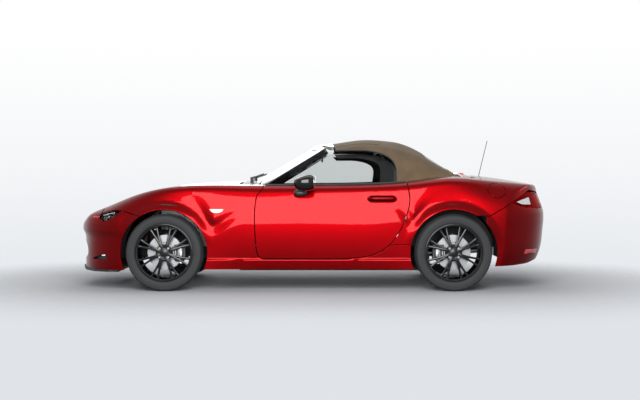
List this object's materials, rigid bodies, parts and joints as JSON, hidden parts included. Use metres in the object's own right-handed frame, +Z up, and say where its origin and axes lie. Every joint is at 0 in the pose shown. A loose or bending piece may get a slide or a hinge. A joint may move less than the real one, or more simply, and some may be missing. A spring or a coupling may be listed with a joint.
{
  "type": "convertible car",
  "caption": "Low open-top sports car with a folding brown cloth roof, opening doors, bonnet, boot lid and fuel flap, and steered, turning wheels.",
  "frame": {"origin": "on the floor under the middle of the car's length and width", "axes": "+X points rearwards, +Y to the car's right, +Z up"},
  "size_m": [3.915, 2.01, 1.2477],
  "materials": {
    "paint": "gloss metallic red",
    "black_plastic": "satin black",
    "lamp_clear": "clear",
    "lamp_red": "clear over red",
    "gloss_black": "gloss black",
    "screen_glass": "clear tinted",
    "side_glass": "clear tinted",
    "rear_glass": "tinted",
    "steel": "satin",
    "underbody": "satin black",
    "cast": "cast",
    "cabin_plastic": "soft grained black",
    "leather": "smooth black",
    "seat_cloth": "black with light stitching",
    "exhaust_steel": "satin",
    "roof_cloth": "woven brown",
    "tyre_rubber": "matt",
    "rim_black": "gloss black lacquer",
    "disc_steel": "turned",
    "liner": "felted black"
  },
  "bodies": {
    "body": {"bumper_front": "paint", "grille": "black_plastic", "lip_front": "black_plastic", "wings_front": "paint", "scuttle": "black_plastic", "sills": "paint", "quarters_rear": "paint", "deck_rear": "paint", "bumper_rear": "paint", "headlamps": "lamp_clear", "tail_lamps": "lamp_red", "windscreen_frame": "gloss_black", "windscreen": "screen_glass", "door_hinges": "steel", "floor_pan": "underbody", "engine": "cast", "dashboard": "cabin_plastic", "seats": "seat_cloth", "roll_hoops": "gloss_black", "exhaust": "exhaust_steel", "wipers": "black_plastic", "antenna": "black_plastic", "uprights_rear": "cast", "suspension": "steel", "wheel_liners": "liner"},
    "bonnet": {"bonnet": "paint"},
    "boot_lid": {"boot_lid": "paint"},
    "fuel_flap": {"fuel_flap": "paint"},
    "steering_wheel": {"steering_wheel": "leather"},
    "roof_link": {"roof_link": "steel"},
    "roof_panel": {"roof_panel": "roof_cloth", "soft_top": "roof_cloth"},
    "rear_window": {"rear_window": "rear_glass"},
    "door_right": {"door_right": "paint", "door_glass_right": "side_glass", "mirror_right": "gloss_black"},
    "upright_front_right": {"upright_front_right": "cast"},
    "wheel_front_right": {"tyre_front_right": "tyre_rubber", "rim_front_right": "rim_black", "disc_front_right": "disc_steel"},
    "wheel_rear_right": {"tyre_rear_right": "tyre_rubber", "rim_rear_right": "rim_black", "disc_rear_right": "disc_steel"},
    "door_left": {"door_left": "paint", "door_glass_left": "side_glass", "mirror_left": "gloss_black"},
    "upright_front_left": {"upright_front_left": "cast"},
    "wheel_front_left": {"tyre_front_left": "tyre_rubber", "rim_front_left": "rim_black", "disc_front_left": "disc_steel"},
    "wheel_rear_left": {"tyre_rear_left": "tyre_rubber", "rim_rear_left": "rim_black", "disc_rear_left": "disc_steel"}
  },
  "joints": [
    {"name": "steer_left", "type": "hinge", "parent": "body", "child": "upright_front_left", "pos_m": [-1.1875, -0.677, 0.308], "axis": [0, 0, 1], "range_deg": [-31, 31]},
    {"name": "spin_front_left", "type": "hinge", "parent": "upright_front_left", "child": "wheel_front_left", "pos_m": [-1.1875, -0.7475, 0.308], "axis": [0, 1, 0], "continuous": true},
    {"name": "spin_rear_left", "type": "hinge", "parent": "body", "child": "wheel_rear_left", "pos_m": [1.1225, -0.7525, 0.308], "axis": [0, 1, 0], "continuous": true},
    {"name": "door_left_hinge", "type": "hinge", "parent": "body", "child": "door_left", "pos_m": [-0.37, -0.828, 0.49], "axis": [0, 0, -1], "range_deg": [0, 60]},
    {"name": "steer_right", "type": "hinge", "parent": "body", "child": "upright_front_right", "pos_m": [-1.1875, 0.677, 0.308], "axis": [0, 0, 1], "range_deg": [-31, 31]},
    {"name": "spin_front_right", "type": "hinge", "parent": "upright_front_right", "child": "wheel_front_right", "pos_m": [-1.1875, 0.7475, 0.308], "axis": [0, 1, 0], "continuous": true},
    {"name": "spin_rear_right", "type": "hinge", "parent": "body", "child": "wheel_rear_right", "pos_m": [1.1225, 0.7525, 0.308], "axis": [0, 1, 0], "continuous": true},
    {"name": "door_right_hinge", "type": "hinge", "parent": "body", "child": "door_right", "pos_m": [-0.37, 0.828, 0.49], "axis": [0, 0, 1], "range_deg": [0, 60]},
    {"name": "steering_turn", "type": "hinge", "parent": "body", "child": "steering_wheel", "pos_m": [-0.03, -0.365, 0.7], "axis": [-0.9272, 0, -0.3746], "range_deg": [-500, 500]},
    {"name": "bonnet_hinge", "type": "hinge", "parent": "body", "child": "bonnet", "pos_m": [-0.61, 0, 0.857], "axis": [0, 1, 0], "range_deg": [0, 50]},
    {"name": "boot_hinge", "type": "hinge", "parent": "body", "child": "boot_lid", "pos_m": [1.312, 0, 0.91], "axis": [0, -1, 0], "range_deg": [0, 75]},
    {"name": "fuel_flap_hinge", "type": "hinge", "parent": "body", "child": "fuel_flap", "pos_m": [1.409, -0.75785, 0.81246], "axis": [0, -0.682, -0.7314], "range_deg": [0, 80]},
    {"name": "roof_fold", "type": "hinge", "parent": "body", "child": "roof_link", "pos_m": [0.76, 0, 0.72], "axis": [0, 1, 0], "range_deg": [0, 105]},
    {"name": "roof_panel_fold", "type": "hinge", "parent": "roof_link", "child": "roof_panel", "pos_m": [0.55, 0, 1.12], "axis": [0, 1, 0], "range_deg": [-105, 0], "deforming": ["soft_top"]},
    {"name": "rear_window_fold", "type": "hinge", "parent": "body", "child": "rear_window", "pos_m": [1.19, 0, 0.865], "axis": [0, 1, 0], "range_deg": [-61, 0]}
  ],
  "couplings": [
    {"joint": "steer_right", "follows": "steer_left", "ratio": 1},
    {"joint": "steering_turn", "follows": "steer_left", "ratio": -15.5},
    {"joint": "roof_panel_fold", "follows": "roof_fold", "ratio": -1},
    {"joint": "rear_window_fold", "follows": "roof_fold", "ratio": -0.58}
  ]
}
